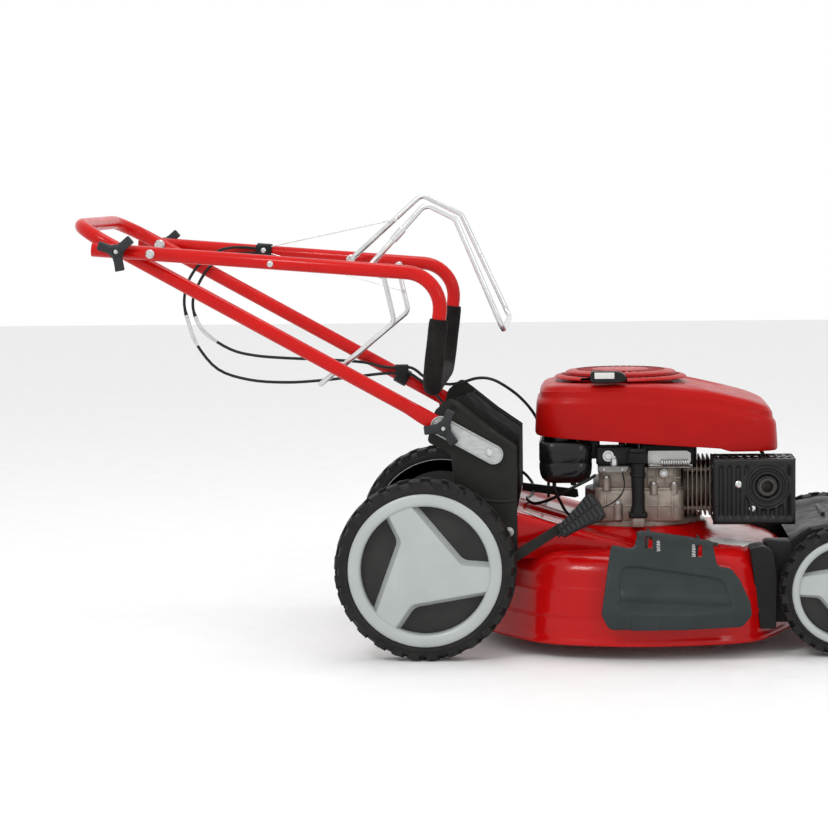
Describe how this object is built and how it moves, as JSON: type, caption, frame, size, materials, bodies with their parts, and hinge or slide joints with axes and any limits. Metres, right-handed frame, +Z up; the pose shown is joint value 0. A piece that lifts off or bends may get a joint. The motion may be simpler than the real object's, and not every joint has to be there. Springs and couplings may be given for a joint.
{
  "type": "lawn mower",
  "caption": "Walk-behind petrol lawn mower with pressed steel deck, side and rear discharge, high rear wheels and a two-part folding tube handle with bails.",
  "frame": {"origin": "on the ground under the middle of the whole machine, upper handle folded forward", "axes": "+X forward, +Y to the left side of the machine, +Z up"},
  "size_m": [1.2926, 0.556, 0.7098],
  "materials": {
    "deck_red": "gloss",
    "handle_red": "gloss",
    "shroud_red": "satin",
    "black_plastic": "satin",
    "cover_grey": "satin",
    "knob_grey": "matte",
    "foam": "matte",
    "zinc": "satin",
    "bail_steel": "satin",
    "blade_steel": "satin",
    "rim_silver": "satin",
    "tyre": "matte",
    "cast_aluminium": "matte",
    "plug": "gloss",
    "muffler_steel": "matte",
    "guard_black": "satin",
    "belt": "matte",
    "cable_black": "satin"
  },
  "bodies": {
    "frame": {"deck": "deck_red", "front_cover": "black_plastic", "side_plates": "black_plastic", "rear_hood": "black_plastic", "hinge_rods": "zinc", "height_quadrant": "zinc", "handle_pivot_bolts": "zinc", "crankcase": "cast_aluminium", "cylinder_block": "cast_aluminium", "cylinder_head": "cast_aluminium", "spark_plug": "plug", "engine_shroud": "shroud_red", "recoil_cap": "shroud_red", "fuel_tank": "black_plastic", "oil_filler_tube": "black_plastic", "carburettor": "cast_aluminium", "air_filter_box": "black_plastic", "control_bracket": "zinc", "muffler": "muffler_steel", "muffler_guard": "guard_black", "gearbox": "cast_aluminium", "drive_belt": "belt", "stop_cable_lower": "cable_black", "drive_cable_lower": "cable_black"},
    "rear_flap": {"rear_flap": "black_plastic"},
    "chute_cover": {"chute_cover": "cover_grey"},
    "rear_carrier": {"rear_axle_carrier": "zinc", "height_lever": "black_plastic"},
    "front_carrier": {"front_axle_carrier": "zinc"},
    "rear_wheel_right": {"rear_tyre_right": "tyre", "rear_rim_right": "rim_silver", "rear_wheel_disc_right": "black_plastic"},
    "rear_wheel_left": {"rear_tyre_left": "tyre", "rear_rim_left": "rim_silver", "rear_wheel_disc_left": "black_plastic"},
    "front_wheel_right": {"front_tyre_right": "tyre", "front_rim_right": "rim_silver"},
    "front_wheel_left": {"front_tyre_left": "tyre", "front_rim_left": "rim_silver"},
    "lower_handle": {"lower_handle": "handle_red", "handle_channels": "zinc", "fold_bolts": "zinc", "cable_clip": "black_plastic"},
    "bracket_knob_right": {"bracket_knob_right": "knob_grey"},
    "bracket_knob_left": {"bracket_knob_left": "knob_grey"},
    "upper_handle": {"upper_handle": "handle_red", "foam_grip": "foam", "cable_clamp": "black_plastic", "handle_fittings": "zinc", "stop_cable_upper": "cable_black", "drive_cable_upper": "cable_black"},
    "fold_knob_right": {"fold_knob_right": "knob_grey"},
    "fold_knob_left": {"fold_knob_left": "knob_grey"},
    "stop_bail": {"stop_bail": "bail_steel"},
    "drive_bail": {"drive_bail": "bail_steel"},
    "crank": {"crankshaft": "zinc", "cutting_blade": "blade_steel"},
    "drive_pulley": {"drive_pulley": "zinc"},
    "oil_cap": {"oil_cap": "black_plastic"},
    "starter_grip": {"starter_grip": "black_plastic"}
  },
  "joints": [
    {"name": "handle_tilt", "type": "hinge", "parent": "frame", "child": "lower_handle", "pos_m": [0.00322, 0.009, 0.31422], "axis": [0, -1, 0], "range_deg": [-8, 6], "deforming": ["stop_cable_lower", "drive_cable_lower"]},
    {"name": "handle_fold", "type": "hinge", "parent": "lower_handle", "child": "upper_handle", "pos_m": [-0.56441, 0.009, 0.62886], "axis": [0, -1, 0], "range_deg": [0, 157], "deforming": ["stop_cable_upper", "drive_cable_upper"]},
    {"name": "stop_bail_squeeze", "type": "hinge", "parent": "upper_handle", "child": "stop_bail", "pos_m": [-0.18275, -0.172, 0.598], "axis": [-0.1582, 0.9874, 0.0082], "range_deg": [0, 28], "stiffness_Nm_per_rad": 1.5, "springref_deg": -57.3},
    {"name": "drive_bail_squeeze", "type": "hinge", "parent": "upper_handle", "child": "drive_bail", "pos_m": [-0.16075, 0.009, 0.59], "axis": [0, -1, 0], "range_deg": [0, 46], "stiffness_Nm_per_rad": 1.2, "springref_deg": -57.3},
    {"name": "bracket_knob_right_turn", "type": "hinge", "parent": "lower_handle", "child": "bracket_knob_right", "pos_m": [-0.06675, -0.191, 0.353], "axis": [0, -1, 0], "continuous": true},
    {"name": "bracket_knob_left_turn", "type": "hinge", "parent": "lower_handle", "child": "bracket_knob_left", "pos_m": [-0.06675, 0.209, 0.353], "axis": [0, 1, 0], "continuous": true},
    {"name": "fold_knob_right_turn", "type": "hinge", "parent": "lower_handle", "child": "fold_knob_right", "pos_m": [-0.56441, -0.221, 0.62886], "axis": [0, -1, 0], "continuous": true},
    {"name": "fold_knob_left_turn", "type": "hinge", "parent": "lower_handle", "child": "fold_knob_left", "pos_m": [-0.56441, 0.239, 0.62886], "axis": [0, 1, 0], "continuous": true},
    {"name": "height_adjust", "type": "hinge", "parent": "frame", "child": "rear_carrier", "pos_m": [-0.04895, 0.009, 0.12], "axis": [0, -1, 0], "range_deg": [0, 40]},
    {"name": "front_height", "type": "hinge", "parent": "frame", "child": "front_carrier", "pos_m": [0.59105, 0.009, 0.08], "axis": [0, -1, 0], "range_deg": [0, 40]},
    {"name": "rear_wheel_right_roll", "type": "hinge", "parent": "rear_carrier", "child": "rear_wheel_right", "pos_m": [-0.09475, -0.236, 0.14], "axis": [0, 1, 0], "continuous": true},
    {"name": "rear_wheel_left_roll", "type": "hinge", "parent": "rear_carrier", "child": "rear_wheel_left", "pos_m": [-0.09475, 0.254, 0.14], "axis": [0, 1, 0], "continuous": true},
    {"name": "front_wheel_right_roll", "type": "hinge", "parent": "front_carrier", "child": "front_wheel_right", "pos_m": [0.54525, -0.201, 0.1], "axis": [0, 1, 0], "continuous": true},
    {"name": "front_wheel_left_roll", "type": "hinge", "parent": "front_carrier", "child": "front_wheel_left", "pos_m": [0.54525, 0.219, 0.1], "axis": [0, 1, 0], "continuous": true},
    {"name": "rear_flap_lift", "type": "hinge", "parent": "frame", "child": "rear_flap", "pos_m": [-0.04275, 0.009, 0.371], "axis": [0, 1, 0], "range_deg": [0, 50]},
    {"name": "chute_cover_lift", "type": "hinge", "parent": "frame", "child": "chute_cover", "pos_m": [0.28825, -0.241, 0.186], "axis": [-0.9903, 0, 0.1392], "range_deg": [0, 70], "stiffness_Nm_per_rad": 0.8, "springref_deg": -34.38},
    {"name": "crank_spin", "type": "hinge", "parent": "frame", "child": "crank", "pos_m": [0.22725, 0.009, 0.1], "axis": [0, 0, 1], "continuous": true},
    {"name": "drive_pulley_spin", "type": "hinge", "parent": "frame", "child": "drive_pulley", "pos_m": [-0.09475, 0.009, 0.134], "axis": [0, 0, 1], "continuous": true},
    {"name": "oil_cap_turn", "type": "hinge", "parent": "frame", "child": "oil_cap", "pos_m": [0.23225, -0.115, 0.295], "axis": [0, 0, 1], "continuous": true},
    {"name": "starter_pull", "type": "slide", "parent": "frame", "child": "starter_grip", "axis": [0, -0.9, 0.4359], "range_m": [0, 0.12], "stiffness_N_per_m": 60, "springref_m": -0.05}
  ],
  "couplings": [
    {"joint": "front_height", "follows": "height_adjust", "ratio": 1},
    {"joint": "drive_pulley_spin", "follows": "crank_spin", "ratio": 1}
  ]
}
